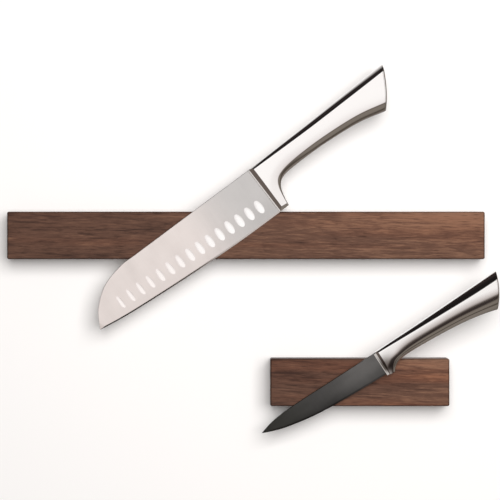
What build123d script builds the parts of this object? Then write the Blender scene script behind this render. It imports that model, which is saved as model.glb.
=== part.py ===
from build123d import *
from dataclasses import dataclass
import math
import os

# Magnetic knife rack: a long and a short walnut bar hung on a wall, each with a steel knife on its face.
# Millimetres. +Z is up, +X is right and +Y goes into the wall, so the bars face -Y.
# The wall's surface is y = 0, and the origin is on it, behind the centre of the long bar.

# ---- driving dimensions ----

# walnut bars
BAR_HEIGHT = 39.0
BAR_DEPTH = 19.0
LONG_LENGTH = 392.0
SHORT_LENGTH = 147.0
SHORT_AT = (93.5, -120.6)  # x and z of the short bar's centre
FACE_ROUND = 1.5
BACK_CHAMFER = 0.5

# what lies behind the walnut face, from front to back
FACE_SKIN = 3.0
MAGNET_DIAMETER = 20.0
MAGNET_DEPTH = 6.0
MAGNET_PITCH = 24.0
YOKE_HEIGHT = 20.0
YOKE_DEPTH = 3.0
YOKE_MARGIN = 2.0  # past the pitch of the magnets, at each end
MAGNET_CHAMFER = 0.3
PLATE_ROUND = 2.0  # corners of the yoke and the liner
COVER_HEIGHT = 32.0
COVER_MARGIN = 8.0  # from the cover's end to the bar's end
COVER_ROUND = 4.0
LINER_HEIGHT = 20.0
LINER_DEPTH = 1.0
FIT = 0.1  # clearance round a piece that is let into wood

# keyhole hangers and the screws that hold them and the covers
HANGER_LENGTH = 34.0
HANGER_HEIGHT = 20.0
HANGER_DEPTH = 1.5
HANGER_ROUND = 4.0
KEYHOLE_ENTRY_DIAMETER = 9.0
KEYHOLE_SLOT = 4.6
KEYHOLE_LIFT = 8.5  # from the entry hole's centre up to the slot's end
KEYHOLE_TOP = 4.5  # height of the slot's end above the bar's centre
HEAD_ROOM_WIDTH = 11.0
HEAD_ROOM_DEPTH = 4.5
SMALL_SCREW_DIAMETER = 2.5
SMALL_HEAD_DIAMETER = 5.0
SMALL_HEAD_DEPTH = 1.2
HANGER_SCREW_LENGTH = 5.5
HANGER_SCREW_X = 12.6
COVER_SCREW_LENGTH = 13.0
COVER_SCREW_Z = 13.0
SMALL_RECESS = (2.6, 0.6, 0.8)  # the driver's cross: width, arm and depth
SCREW_TIP = 0.5  # diameter at the very point

# wall fixings
WALL_SCREW_DIAMETER = 4.0
WALL_HEAD_DIAMETER = 8.0
WALL_HEAD_DEPTH = 2.6
WALL_HEAD_GAP = 0.25  # between the hanger plate and the head behind it
WALL_HEAD_ROUND = 0.9
WALL_RECESS = (4.2, 1.0, 1.6)
WALL_SCREW_END = 33.0
WALL_POINT = 4.0
PLUG_DIAMETER = 6.0
PLUG_LEG_DIAMETER = 5.6
PLUG_LENGTH = 30.0
PLUG_LIP_DIAMETER = 8.0
PLUG_LIP_DEPTH = 0.6
PLUG_BORE = 4.2
PLUG_SLOT = 0.8
PLUG_SLOT_START = 8.0

# planes, by distance from the wall
BACK = -LINER_DEPTH
FRONT = BACK - BAR_DEPTH
MAGNET_FRONT = FRONT + FACE_SKIN
YOKE_FRONT = MAGNET_FRONT + MAGNET_DEPTH
COVER_FRONT = YOKE_FRONT + YOKE_DEPTH
HANGER_FRONT = BACK - HANGER_DEPTH


@dataclass
class BarPlan:
    """What differs between the two bars, along their length."""

    name: str
    length: float
    at: tuple
    magnets: int
    hanger_x: float
    cover_screw_x: tuple
    liner_length: float


@dataclass
class KnifePlan:
    """One knife in its own frame: the bolster's front face is x = 0, the tip points to -x, the edge down,
    and the knife's middle plane is y = 0. Outline points are (x, z)."""

    name: str
    spine: tuple
    tip_curve: tuple
    tip: tuple
    edge: tuple
    heel: tuple
    spine_thickness: float
    edge_thickness: float
    guard: tuple  # outline of the bolster's underside, from its front to the handle
    nose: tuple  # the bolster's front chamfer: along the knife and into its thickness
    sections: tuple  # x, top z, bottom z, thickness and corner radius; the first is the bolster's end
    butt: tuple  # three points of the butt's arc, top, middle and bottom
    wall: float
    cap_depth: float
    tang: tuple  # end x, top z and bottom z
    angle: float  # how far the handle is raised above level
    tilt: float  # how far the handle leans out from the bar's face
    at: tuple  # x and z of the knife frame's origin on the wall
    rests_at: float  # x, in the knife's frame, of the point where a tilted blade touches the bar
    dimples: int = 0


LONG = BarPlan("long", LONG_LENGTH, (0, 0), 15, 150.0, (-182, -100, 0, 100, 182), 250.0)
SHORT = BarPlan("short", SHORT_LENGTH, SHORT_AT, 5, 40.0, (-60.5, 0, 60.5), 40.0)

DIMPLE_LENGTH = 12.0
DIMPLE_WIDTH = 6.0
DIMPLE_DEPTH = 0.28
DIMPLE_PITCH = 9.8
DIMPLE_FIRST = (-12.0, -28.2)
DIMPLE_RISE = 0.42  # how much higher each dimple is than the one before it
ELLIPSOID_DEPTH = 1.5  # half the thickness of the oval that cuts a dimple
TANG_THICKNESS = 1.6
KNIFE_GAP = 0.1  # between a blade and the bar's face
END_WALL = 2.0  # the closed end of a handle shell, at the bolster
FAR = 200.0  # longer than any knife, for blocks that cut

SANTOKU = KnifePlan(
    name="santoku",
    spine=((0, 0.8), (-130, 3.0)),
    tip_curve=((-151, -1.9), (-167, -13.6)),
    tip=(-176.8, -28.4),
    edge=((-140, -33.8), (-90, -38.2), (-40, -41.2)),
    heel=(0, -42.3),
    spine_thickness=2.2,
    edge_thickness=0.55,
    guard=((0, -42.0), (7.2, -42.0), (9.0, -37.0), (10.6, -28.5), (14.5, -22.6), (22.0, -19.8)),
    nose=(3.2, 2.6),
    sections=(
        (22, 0, -19.8, 14.0, 4.2),
        (45, 0.3, -19.4, 16.4, 6.2),
        (70, 0.7, -20.7, 18.0, 7.4),
        (95, 1.2, -23.4, 19.8, 8.0),
        (118, 1.6, -28.9, 22.4, 8.8),
        (142, 2.1, -36.2, 25.4, 9.8),
    ),
    butt=((138.4, 1.0), (130.6, -13.6), (117.6, -30.5)),
    wall=1.2,
    cap_depth=2.5,
    tang=(40.0, -3.5, -16.5),
    angle=37.7,
    tilt=0.0,
    at=(2.95, 53.1),
    rests_at=0.0,
    dimples=15,
)

UTILITY = KnifePlan(
    name="utility",
    spine=((0, 0.7), (-76, 0.9)),
    tip_curve=((-90, 0.4), (-102, -1.2)),
    tip=(-112.6, -4.1),
    edge=((-92, -11.2), (-66, -15.8), (-36, -17.9)),
    heel=(0, -19.2),
    spine_thickness=1.7,
    edge_thickness=0.5,
    guard=((0, -20.6), (4.5, -21.0), (8.5, -18.4), (12.0, -15.7), (16.0, -14.3), (24.0, -13.8)),
    nose=(1.6, 1.3),
    sections=(
        (24, 0, -13.8, 9.6, 3.0),
        (43, 0.3, -14.2, 11.8, 4.4),
        (62.5, 0.6, -15.5, 14.0, 5.4),
        (82, 0.9, -18.0, 15.6, 6.0),
        (103.8, 1.4, -23.0, 18.0, 6.8),
        (123.5, 1.9, -28.6, 20.4, 7.6),
    ),
    butt=((118.9, 3.2), (112.3, -9.3), (102.8, -24.8)),
    wall=1.0,
    cap_depth=2.0,
    tang=(36.0, -3.0, -11.0),
    angle=33.3,
    tilt=3.6,
    at=(104.6, -97.2),
    rests_at=-78.0,
)

nodes = {}


# ---- helpers ----


def slab(length, height, front, back, corner=0.0, at=(0, 0)):
    """A plate that faces the wall, from y = front to y = back, centred on x and z."""
    outline = RectangleRounded(length, height, corner) if corner else Rectangle(length, height)
    face_plane = Plane(origin=(at[0], back, at[1]), x_dir=(1, 0, 0), z_dir=(0, -1, 0))
    return extrude(face_plane * outline, amount=back - front)


def disc(diameter, front, back, at=(0, 0)):
    """A round solid with its axis along y."""
    plane = Plane(origin=(at[0], back, at[1]), x_dir=(1, 0, 0), z_dir=(0, -1, 0))
    return extrude(plane * Circle(diameter / 2), amount=back - front)


def tapered_disc(front_diameter, back_diameter, front, back, at=(0, 0)):
    """A cone along y, of one diameter at y = front and the other at y = back."""
    plane = Plane(origin=(at[0], (front + back) / 2, at[1]), x_dir=(1, 0, 0), z_dir=(0, 1, 0))
    return plane * Cone(front_diameter / 2, back_diameter / 2, back - front)


def cross_recess(sizes, front, at):
    """The cross that a screwdriver turns, cut from y = front towards the wall."""
    width, arm, depth = sizes
    return slab(width, arm, front, front + depth, at=at) + slab(arm, width, front, front + depth, at=at)


def evenly(count, pitch):
    """Places along a line, centred on zero."""
    return [(i - (count - 1) / 2) * pitch for i in range(count)]


# ---- small screws ----


def countersunk_screw(length, at):
    """A small wood screw with its flush head at the bar's back and its point towards the front."""
    head = tapered_disc(SMALL_SCREW_DIAMETER, SMALL_HEAD_DIAMETER, BACK - SMALL_HEAD_DEPTH, BACK, at)
    point_back = BACK - length + SMALL_SCREW_DIAMETER
    shank = disc(SMALL_SCREW_DIAMETER, point_back, BACK - SMALL_HEAD_DEPTH, at)
    point = tapered_disc(SCREW_TIP, SMALL_SCREW_DIAMETER, BACK - length, point_back, at)
    recess = cross_recess(SMALL_RECESS, BACK - SMALL_RECESS[2], at)
    return head + shank + point - recess


def screw_room(length, at):
    """The pilot hole and countersink that a small screw fills."""
    clear = 2 * FIT
    head = tapered_disc(
        SMALL_SCREW_DIAMETER + clear, SMALL_HEAD_DIAMETER + clear, BACK - SMALL_HEAD_DEPTH, BACK, at
    )
    hole = disc(SMALL_SCREW_DIAMETER + clear, BACK - length - 0.5, BACK - SMALL_HEAD_DEPTH / 2, at)
    return head + hole


# ---- one bar ----


def cover_screw_places(plan):
    return [(x, side * COVER_SCREW_Z) for x in plan.cover_screw_x for side in (-1, 1)]


def hanger_screw_places(plan):
    return [(end * plan.hanger_x + side * HANGER_SCREW_X, 0) for end in (-1, 1) for side in (-1, 1)]


def hanger_outline_room(x):
    clear = 2 * FIT
    return slab(HANGER_LENGTH + clear, HANGER_HEIGHT + clear, HANGER_FRONT, BACK, HANGER_ROUND + FIT, (x, 0))


def keyhole(width, entry, front, back, x):
    """A round entry below a narrow slot that ends at KEYHOLE_TOP."""
    entry_z = KEYHOLE_TOP - KEYHOLE_LIFT
    slot = slab(width, KEYHOLE_LIFT, front, back, at=(x, KEYHOLE_TOP - KEYHOLE_LIFT / 2))
    return slot + disc(width, front, back, (x, KEYHOLE_TOP)) + disc(entry, front, back, (x, entry_z))


def walnut_bar(plan):
    """The solid walnut body, hollowed from behind in steps: the cover, the yoke, then the magnets."""
    body = slab(plan.length, BAR_HEIGHT, FRONT, BACK)
    front_edges = body.edges().filter_by_position(Axis.Y, FRONT, FRONT)
    corner_edges = body.edges().filter_by(Axis.Y)
    body = fillet(front_edges + corner_edges, FACE_ROUND)
    body = chamfer(body.edges().filter_by_position(Axis.Y, BACK, BACK), BACK_CHAMFER)
    cover_length = plan.length - 2 * COVER_MARGIN
    body -= slab(cover_length + 2 * FIT, COVER_HEIGHT + 2 * FIT, COVER_FRONT, BACK, COVER_ROUND + FIT)
    body -= slab(
        yoke_length(plan) + 2 * FIT, YOKE_HEIGHT + 2 * FIT, YOKE_FRONT, COVER_FRONT, PLATE_ROUND + FIT
    )
    for x in evenly(plan.magnets, MAGNET_PITCH):
        body -= disc(MAGNET_DIAMETER + 2 * FIT, MAGNET_FRONT, YOKE_FRONT, (x, 0))
    for place in cover_screw_places(plan):
        body -= screw_room(COVER_SCREW_LENGTH, place)
    return body


def yoke_length(plan):
    return plan.magnets * MAGNET_PITCH + 2 * YOKE_MARGIN


def back_cover(plan):
    """The walnut lid let into the bar's back, with a recess for each hanger and room for its screw's head."""
    cover = slab(plan.length - 2 * COVER_MARGIN, COVER_HEIGHT, COVER_FRONT, BACK, COVER_ROUND)
    for place in cover_screw_places(plan):
        cover -= screw_room(COVER_SCREW_LENGTH, place)
    for place in hanger_screw_places(plan):
        cover -= screw_room(HANGER_SCREW_LENGTH, place)
    for end in (-1, 1):
        x = end * plan.hanger_x
        cover -= hanger_outline_room(x)
        room_front = HANGER_FRONT - HEAD_ROOM_DEPTH
        cover -= keyhole(HEAD_ROOM_WIDTH, HEAD_ROOM_WIDTH, room_front, BACK, x)
    return cover


def hanger_plate(plan, end):
    """The steel keyhole plate, flush with the bar's back."""
    x = end * plan.hanger_x
    plate = slab(HANGER_LENGTH, HANGER_HEIGHT, HANGER_FRONT, BACK, HANGER_ROUND, (x, 0))
    plate -= keyhole(KEYHOLE_SLOT, KEYHOLE_ENTRY_DIAMETER, HANGER_FRONT, BACK, x)
    for side in (-1, 1):
        plate -= screw_room(HANGER_SCREW_LENGTH, (x + side * HANGER_SCREW_X, 0))
    return plate


def wall_screw(plan, end):
    """The screw that a hanger hangs on. Its head faces away from the wall, inside the cover."""
    at = (end * plan.hanger_x, KEYHOLE_TOP)
    head_back = HANGER_FRONT - WALL_HEAD_GAP
    head_front = head_back - WALL_HEAD_DEPTH
    head = disc(WALL_HEAD_DIAMETER, head_front, head_back, at)
    head = fillet(head.edges().filter_by_position(Axis.Y, head_front, head_front), WALL_HEAD_ROUND)
    shank = disc(WALL_SCREW_DIAMETER, head_back, WALL_SCREW_END - WALL_POINT, at)
    point = tapered_disc(WALL_SCREW_DIAMETER, SCREW_TIP, WALL_SCREW_END - WALL_POINT, WALL_SCREW_END, at)
    return head + shank + point - cross_recess(WALL_RECESS, head_front, at)


def wall_plug(plan, end):
    """The nylon plug in the wall that the screw bites in: a lip at the mouth and four legs that spread."""
    at = (end * plan.hanger_x, KEYHOLE_TOP)
    plug = disc(PLUG_LIP_DIAMETER, -PLUG_LIP_DEPTH, 0, at) + disc(PLUG_DIAMETER, 0, PLUG_SLOT_START, at)
    plug += disc(PLUG_LEG_DIAMETER, PLUG_SLOT_START, PLUG_LENGTH, at)
    plug -= disc(PLUG_BORE, -PLUG_LIP_DEPTH, PLUG_LENGTH, at)
    for size in ((PLUG_LIP_DIAMETER, PLUG_SLOT), (PLUG_SLOT, PLUG_LIP_DIAMETER)):
        plug -= slab(size[0], size[1], PLUG_SLOT_START, PLUG_LENGTH, at=at)
    return plug


def group(solids):
    return Compound(children=list(solids))


def add_bar(plan):
    """Makes every piece of one bar, in the rack's frame."""
    place = Pos(plan.at[0], 0, plan.at[1])
    made = {
        "bar": walnut_bar(plan),
        "back_cover": back_cover(plan),
        "steel_yoke": slab(yoke_length(plan), YOKE_HEIGHT, YOKE_FRONT, COVER_FRONT, PLATE_ROUND),
        "rubber_liner": slab(plan.liner_length, LINER_HEIGHT, BACK, 0, PLATE_ROUND),
    }
    for number, x in enumerate(evenly(plan.magnets, MAGNET_PITCH), 1):
        magnet = disc(MAGNET_DIAMETER, MAGNET_FRONT, YOKE_FRONT, (x, 0))
        made[f"magnet_{number:02d}"] = chamfer(magnet.edges().filter_by(GeomType.CIRCLE), MAGNET_CHAMFER)
    for end, side in ((-1, "left"), (1, "right")):
        made[f"{side}_hanger"] = hanger_plate(plan, end)
        made[f"{side}_wall_screw"] = wall_screw(plan, end)
        made[f"{side}_wall_plug"] = wall_plug(plan, end)
    for name, solid in made.items():
        nodes[f"{plan.name}_{name}"] = place * solid
    nodes[f"{plan.name}_cover_screws"] = group(
        place * countersunk_screw(COVER_SCREW_LENGTH, at) for at in cover_screw_places(plan)
    )
    nodes[f"{plan.name}_hanger_screws"] = group(
        place * countersunk_screw(HANGER_SCREW_LENGTH, at) for at in hanger_screw_places(plan)
    )


# ---- one knife ----


def side_plate(outline, thickness):
    """Extrudes a face in the x-z plane, evenly to both sides of y = 0."""
    return extrude(outline, amount=thickness / 2, both=True)


def blade_outline(knife):
    spine_start, spine_end = (Vector(x, 0, z) for x, z in knife.spine)
    tip = Vector(knife.tip[0], 0, knife.tip[1])
    heel = Vector(knife.heel[0], 0, knife.heel[1])
    curve = [Vector(x, 0, z) for x, z in knife.tip_curve]
    edge = [Vector(x, 0, z) for x, z in knife.edge]
    spine = Line(spine_start, spine_end)
    along = (spine_end - spine_start).normalized()
    drop = Spline([spine_end, *curve, tip], tangents=[along, (tip - curve[-1]).normalized()])
    belly = Spline([tip, *edge, heel])
    back = Line(heel, spine_start)
    return make_face(Wire([spine, drop, belly, back]))


def flank_slope(knife):
    """How fast one face of the blade comes nearer the middle plane on the way down to the edge."""
    return (knife.spine_thickness - knife.edge_thickness) / 2 / (knife.spine[1][1] - knife.heel[1])


def flank(knife, z):
    """Distance of the blade's face from the middle plane at that height."""
    return knife.edge_thickness / 2 + flank_slope(knife) * (z - knife.heel[1])


def wedge(knife):
    """A bar whose section narrows from the spine's thickness to the edge's."""
    top = knife.spine[1][1]
    low = knife.heel[1] - 1
    thick = flank(knife, top)
    thin = flank(knife, low)
    section = Polyline((0, -thick, top), (0, thick, top), (0, thin, low), (0, -thin, low), close=True)
    return extrude(make_face(section), amount=FAR, dir=(-1, 0, 0))


def dimple(knife, x, z, side):
    """A shallow oval hollow in the blade's face, longer down the blade than along it."""
    share = 1 - ((ELLIPSOID_DEPTH - DIMPLE_DEPTH) / ELLIPSOID_DEPTH) ** 2
    half_x = DIMPLE_WIDTH / 2 / math.sqrt(share)
    half_z = DIMPLE_LENGTH / 2 / math.sqrt(share)
    oval = scale(Sphere(1), by=(half_x, ELLIPSOID_DEPTH, half_z))
    return Pos(x, side * (flank(knife, z) + ELLIPSOID_DEPTH - DIMPLE_DEPTH), z) * oval


def blade(knife):
    """The ground blade, with its tang running back through the bolster into the handle."""
    body = side_plate(blade_outline(knife), 2 * knife.spine_thickness) & wedge(knife)
    tang_end, tang_top, tang_bottom = knife.tang
    tang_middle = (tang_top + tang_bottom) / 2
    body += Pos(tang_end / 2, 0, tang_middle) * Box(tang_end, TANG_THICKNESS, tang_top - tang_bottom)
    for number in range(knife.dimples):
        x = DIMPLE_FIRST[0] - number * DIMPLE_PITCH
        z = DIMPLE_FIRST[1] + number * DIMPLE_RISE
        body -= dimple(knife, x, z, -1)
        if number < knife.dimples - 1:
            body -= dimple(knife, x - DIMPLE_PITCH / 2, z + DIMPLE_RISE / 2, 1)
    return body


def bolster(knife):
    """The forged collar and finger guard, bevelled towards the blade and rounded like the handle it meets."""
    bolster_end, _, _, thickness, corner = knife.sections[0]
    guard = [Vector(x, 0, z) for x, z in knife.guard]
    end = Vector(bolster_end, 0, 0)
    under = Spline(guard[2:], tangents=[(0.3, 0, 1), (1, 0, 0.06)])
    outline = Wire(
        [
            Line((0, 0, 0), guard[0]),
            Line(guard[0], guard[1]),
            Line(guard[1], guard[2]),
            under,
            Line(guard[-1], end),
            Line(end, (0, 0, 0)),
        ]
    )
    half = thickness / 2
    body = side_plate(make_face(outline), thickness)
    flank_edges = [e for e in body.edges() if abs(abs(e.center().Y) - half) < 0.01]
    body = fillet([e for e in flank_edges if 1 < e.center().X < bolster_end - 1], corner)
    nose_x, nose_y = knife.nose
    top_view = Polyline(
        (0, half - nose_y),
        (nose_x, half),
        (bolster_end, half),
        (bolster_end, -half),
        (nose_x, -half),
        (0, nose_y - half),
        close=True,
    )
    return body & extrude(make_face(top_view), amount=FAR, both=True)


def handle_form(knife, wall=0.0):
    """The handle's outer form, or what is inside a wall of that thickness."""
    sections = []
    for x, top, bottom, thickness, corner in knife.sections:
        plane = Plane(origin=(x, 0, (top + bottom) / 2), x_dir=(0, 1, 0), z_dir=(1, 0, 0))
        size = (thickness - 2 * wall, top - bottom - 2 * wall)
        sections.append(plane * RectangleRounded(*size, corner - wall))
    return loft(sections)


def butt_side(knife, inward=0.0):
    """Everything on the tip's side of the butt's curved end, moved inward."""
    top, middle, bottom = (Vector(x - inward, 0, z) for x, z in knife.butt)
    above = top + (top - middle)
    below = bottom + (bottom - middle)
    corners = (above, Vector(0, 0, above.Z), Vector(0, 0, below.Z), below)
    straight = Polyline(top, *corners, bottom)
    outline = Wire([ThreePointArc(top, middle, bottom), *straight.edges()])
    return side_plate(make_face(outline), FAR)


def half_space(front):
    """A large block on one side of the knife's middle plane, the front being -y."""
    side = -1 if front else 1
    return Pos(0, side * FAR / 2, 0) * Box(2 * FAR, FAR, 2 * FAR)


def knife_place(knife):
    """Lays the blade's rear face on the bar, or tilts it so that a thick bolster clears the bar."""
    roll = math.atan(flank_slope(knife))
    lean = -knife.rests_at * math.sin(math.radians(knife.tilt))
    y = FRONT - KNIFE_GAP - flank(knife, 0) * math.cos(roll) - lean
    turn = Rot(0, -knife.angle, 0) * Rot(0, 0, -knife.tilt) * Rot(math.degrees(roll), 0, 0)
    return Pos(knife.at[0], y, knife.at[1]) * turn


def add_knife(knife):
    """Makes one knife's five pieces and lays it on its bar."""
    form = handle_form(knife)
    shell = form & butt_side(knife, knife.cap_depth)
    room_start = knife.sections[0][0] + END_WALL
    hollow = handle_form(knife, knife.wall) & butt_side(knife, knife.cap_depth)
    hollow &= Pos(room_start + FAR / 2, 0, 0) * Box(FAR, FAR, FAR)
    tang_end, tang_top, tang_bottom = knife.tang
    tang_slot = Pos(0, 0, (tang_top + tang_bottom) / 2) * Box(
        2 * tang_end, TANG_THICKNESS + 2 * FIT, tang_top - tang_bottom + 2 * FIT
    )
    shell = shell - hollow - tang_slot
    made = {
        "blade": blade(knife),
        "bolster": bolster(knife) - tang_slot,
        "handle_front_shell": shell & half_space(True),
        "handle_rear_shell": shell & half_space(False),
        "butt_cap": form & (butt_side(knife) - butt_side(knife, knife.cap_depth)),
    }
    place = knife_place(knife)
    for name, solid in made.items():
        nodes[f"{knife.name}_{name}"] = place * solid


add_bar(LONG)
add_bar(SHORT)
for knife in (SANTOKU, UTILITY):
    add_knife(knife)

os.makedirs("parts", exist_ok=True)
for name, shape in nodes.items():
    export_step(shape, f"parts/{name}.step")
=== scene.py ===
import bpy
import bmesh
import math
from mathutils import Matrix, Vector


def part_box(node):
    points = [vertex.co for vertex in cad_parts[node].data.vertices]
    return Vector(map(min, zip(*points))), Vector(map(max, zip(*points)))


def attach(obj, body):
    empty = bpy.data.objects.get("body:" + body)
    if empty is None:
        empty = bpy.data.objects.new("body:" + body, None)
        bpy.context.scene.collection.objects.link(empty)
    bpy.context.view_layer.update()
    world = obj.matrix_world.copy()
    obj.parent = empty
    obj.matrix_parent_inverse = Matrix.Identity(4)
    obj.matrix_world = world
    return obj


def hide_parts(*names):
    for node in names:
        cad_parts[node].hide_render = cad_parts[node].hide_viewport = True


# Two walnut magnet bars on a white wall, each holding an all-steel knife. Metres, +Z up, wall at y = 0.

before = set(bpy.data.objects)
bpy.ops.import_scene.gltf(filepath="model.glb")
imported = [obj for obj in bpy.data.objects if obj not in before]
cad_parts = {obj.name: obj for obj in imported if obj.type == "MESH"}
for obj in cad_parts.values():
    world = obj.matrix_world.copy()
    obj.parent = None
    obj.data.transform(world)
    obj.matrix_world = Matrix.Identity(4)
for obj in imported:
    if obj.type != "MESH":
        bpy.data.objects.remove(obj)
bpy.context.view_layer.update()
mm = 0.001
weldDistance = 0.004  # millimetres
print("frame loaded:", len(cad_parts), "nodes")


def pickOnly(obj):
    if bpy.context.object and bpy.context.object.mode != "OBJECT":
        bpy.ops.object.mode_set(mode="OBJECT")
    bpy.ops.object.select_all(action="DESELECT")
    obj.select_set(True)
    bpy.context.view_layer.objects.active = obj


def startEdit(obj):
    pickOnly(obj)
    bpy.ops.object.mode_set(mode="EDIT")
    return bmesh.from_edit_mesh(obj.data)


def stopEdit():
    bpy.ops.object.mode_set(mode="OBJECT")


def applyPlace():
    bpy.ops.object.transform_apply(location=True, rotation=True, scale=True)


def applyModifier(obj, kind, **settings):
    pickOnly(obj)
    modifier = obj.modifiers.new(kind.title(), kind)
    for key, value in settings.items():
        setattr(modifier, key, value)
    bpy.ops.object.modifier_apply(modifier=modifier.name)


def cleanMesh(obj, unit=mm, closeHoles=False):
    # doubles first, then the normals, so that a seam can't turn a shell inside out
    startEdit(obj)
    bpy.ops.mesh.select_all(action="SELECT")
    bpy.ops.mesh.remove_doubles(threshold=weldDistance * unit)
    if closeHoles:
        bpy.ops.mesh.fill_holes(sides=0)
    bpy.ops.mesh.normals_make_consistent(inside=False)
    stopEdit()


def smoothUpTo(obj, degrees):
    pickOnly(obj)
    bpy.ops.object.shade_smooth_by_angle(angle=math.radians(degrees))


def cutAway(obj, point, normal):
    # slices off all that lies on the normal's side, and closes the cut with a flat face
    startEdit(obj)
    bpy.ops.mesh.select_all(action="SELECT")
    bpy.ops.mesh.bisect(plane_co=point, plane_no=normal, use_fill=True, clear_outer=True)
    stopEdit()


def setPlace(obj, matrix):
    # the place goes into the mesh, and the object stays at the origin
    obj.matrix_world = matrix
    pickOnly(obj)
    applyPlace()


def handOver(obj, body, nodes):
    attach(obj, body)
    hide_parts(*nodes)


def addNode(tree, kind, **settings):
    node = tree.nodes.new(kind)
    for key, value in settings.items():
        if key.startswith("in_"):
            node.inputs[key[3:].replace("_", " ")].default_value = value
        else:
            setattr(node, key, value)
    return node


def mathNode(tree, operation, first, second=None, third=None, clamp=False):
    node = tree.nodes.new("ShaderNodeMath")
    node.operation = operation
    node.use_clamp = clamp
    for index, value in enumerate((first, second, third)):
        if value is None:
            continue
        if isinstance(value, (int, float)):
            node.inputs[index].default_value = value
        else:
            tree.links.new(value, node.inputs[index])
    return node.outputs[0]


def mixColors(tree, amount, first, second, blend="MIX"):
    node = tree.nodes.new("ShaderNodeMix")
    node.data_type = "RGBA"
    node.blend_type = blend
    for socket, value in ((node.inputs[0], amount), (node.inputs[6], first), (node.inputs[7], second)):
        if isinstance(value, (int, float, tuple)):
            socket.default_value = value if not isinstance(value, tuple) else (*value, 1.0)[:4]
        else:
            tree.links.new(value, socket)
    return node.outputs[2]


def splitAxes(tree, vector):
    parts = addNode(tree, "ShaderNodeSeparateXYZ")
    tree.links.new(vector, parts.inputs[0])
    return parts.outputs


def movedVector(tree, vector, location=(0, 0, 0), rotation=(0, 0, 0), scale=(1, 1, 1)):
    mapping = addNode(
        tree, "ShaderNodeMapping", in_Location=location, in_Rotation=rotation, in_Scale=scale
    )
    tree.links.new(vector, mapping.inputs["Vector"])
    return mapping.outputs[0]


def stretchedNoise(tree, vector, scale, detail=3.0, roughness=0.5, location=(0, 0, 0)):
    noise = addNode(tree, "ShaderNodeTexNoise", in_Scale=1.0, in_Detail=detail, in_Roughness=roughness)
    tree.links.new(movedVector(tree, vector, location, scale=scale), noise.inputs["Vector"])
    return noise.outputs["Fac"]


def rampFrom(tree, value, low, high):
    # 0 to 1 between two values; it falls if low is the higher one
    node = addNode(tree, "ShaderNodeMapRange", interpolation_type="SMOOTHSTEP")
    node.inputs["From Min"].default_value = low
    node.inputs["From Max"].default_value = high
    tree.links.new(value, node.inputs["Value"])
    return node.outputs["Result"]


def newGroup(name, inputs, outputs):
    tree = bpy.data.node_groups.new(name, "ShaderNodeTree")
    for label, kind, value in inputs:
        socket = tree.interface.new_socket(label, in_out="INPUT", socket_type=kind)
        if value is not None:
            socket.default_value = value
    for label, kind in outputs:
        tree.interface.new_socket(label, in_out="OUTPUT", socket_type=kind)
    return tree, tree.nodes.new("NodeGroupInput").outputs, tree.nodes.new("NodeGroupOutput").inputs


def placeGroup(tree, group, vector=None, **values):
    node = tree.nodes.new("ShaderNodeGroup")
    node.node_tree = group
    for key, value in values.items():
        node.inputs[key.replace("_", " ")].default_value = value
    if vector is not None:
        tree.links.new(vector, node.inputs["Vector"])
    return node


def newMaterial(name, **sockets):
    material = bpy.data.materials.new(name)
    material.use_nodes = True
    tree = material.node_tree
    shader = tree.nodes["Principled BSDF"]
    for key, value in sockets.items():
        shader.inputs[key.replace("_", " ")].default_value = value
    coords = tree.nodes.new("ShaderNodeTexCoord").outputs["Object"]
    return material, tree, shader, coords


def addBump(tree, shader, height, strength, distance):
    bump = addNode(tree, "ShaderNodeBump", in_Strength=strength, in_Distance=distance)
    tree.links.new(height, bump.inputs["Height"])
    tree.links.new(bump.outputs[0], shader.inputs["Normal"])


# each layer: its scale along the bar and twice across it, detail, roughness, where it starts
walnut = {
    "slowWave": ((4.5, 18, 18), 2.0, 0.5, (0, 0, 0)),
    "midWave": ((24, 90, 90), 3.0, 0.6, (4, 2, 7)),
    "fibre": ((75, 850, 850), 4.0, 0.7, (1, 5, 3)),
    "streak": ((22, 250, 250), 5.0, 0.68, (8, 1, 2)),
    "cloud": ((8, 48, 48), 3.0, 0.55, (2, 9, 6)),
    "dash": ((15, 560, 560), 3.0, 0.6, (7, 3, 9)),
    "hue": ((4, 70, 70), 3.0, 0.5, (5, 5, 1)),
    "pore": ((85, 1300, 1300), 2.0, 0.5, (3, 3, 3)),
    "bends": {"slowWave": 0.034, "midWave": 0.0065},  # how far they push the rings about
    "tones": {"fibre": 1.15, "streak": 0.75, "cloud": 0.65},
    "pith": (0.055, 0.046),  # y and z
    "lateWood": 3.0,  # how sharply a ring darkens
    "ringEnd": (0.90, 1.0),
    "dashRange": (0.56, 0.72),
    "toneRange": (0.62, 1.88),
    "hueRange": (0.42, 0.68),
    "poreRange": (0.60, 0.68),
    "redder": (1.16, 0.92, 0.80),
    "poreColor": (0.028, 0.014, 0.010),
    "edgeShadeAndEndGrainColor": (0.030, 0.015, 0.010),
}


def walnutNoise(tree, at, layer):
    return stretchedNoise(tree, at, *walnut[layer])


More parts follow.
